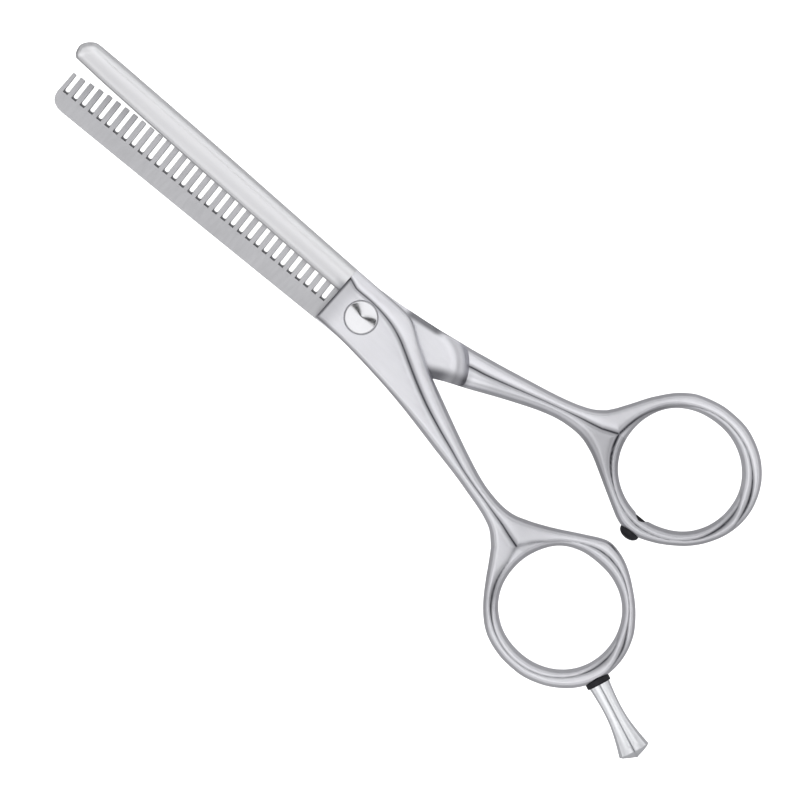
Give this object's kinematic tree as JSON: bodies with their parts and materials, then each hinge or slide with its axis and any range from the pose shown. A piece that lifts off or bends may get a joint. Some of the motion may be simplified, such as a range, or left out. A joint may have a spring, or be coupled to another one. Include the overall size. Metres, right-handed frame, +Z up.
{
  "type": "thinning shears",
  "caption": "Thinning shears with one plain and one toothed blade, offset finger rings, a screw-in finger rest, a rubber bumper and a flat pivot bolt.",
  "frame": {"origin": "centre of the tension nut's outer face, on the pivot axis, where the shears rest on a table", "axes": "+X along the plain blade to its tip, +Z up along the pivot axis out of the bolt's head, +Y to the toothed blade and the finger ring"},
  "size_m": [0.1536, 0.0582, 0.006],
  "materials": {
    "plain_blade_steel": "satin, ground along the blade",
    "toothed_blade_steel": "satin, ground along the blade, darker",
    "handle_steel": "polished satin",
    "tang_steel": "polished",
    "bolt_steel": "turned and polished",
    "spring_steel": "rolled strip",
    "black_rubber": "matt moulded",
    "bush_polymer": "moulded"
  },
  "bodies": {
    "finger_half": {"plain_blade": "plain_blade_steel", "finger_shank": "handle_steel", "finger_ring": "handle_steel", "tang_washer": "black_rubber", "pivot_bolt": "bolt_steel"},
    "thumb_half": {"toothed_blade": "toothed_blade_steel", "thumb_shank": "handle_steel", "thumb_ring": "handle_steel", "bumper": "black_rubber", "pivot_bush": "bush_polymer", "spring_washer": "spring_steel"},
    "tension_nut": {"tension_nut": "bolt_steel"},
    "tang": {"tang": "tang_steel"}
  },
  "joints": [
    {"name": "blades_open", "type": "hinge", "parent": "finger_half", "child": "thumb_half", "pos_m": [0, 0, 0.003], "axis": [0, 0, 1], "range_deg": [-2.1, 120]},
    {"name": "tension_nut_turn", "type": "hinge", "parent": "finger_half", "child": "tension_nut", "pos_m": [0, 0, 0.0007], "axis": [0, 0, 1], "range_deg": [-90, 90]},
    {"name": "tang_turn", "type": "hinge", "parent": "finger_half", "child": "tang", "pos_m": [-0.07211, 0.01953, 0.003], "axis": [-0.9361, 0.3518, 0], "range_deg": [0, 360]}
  ]
}
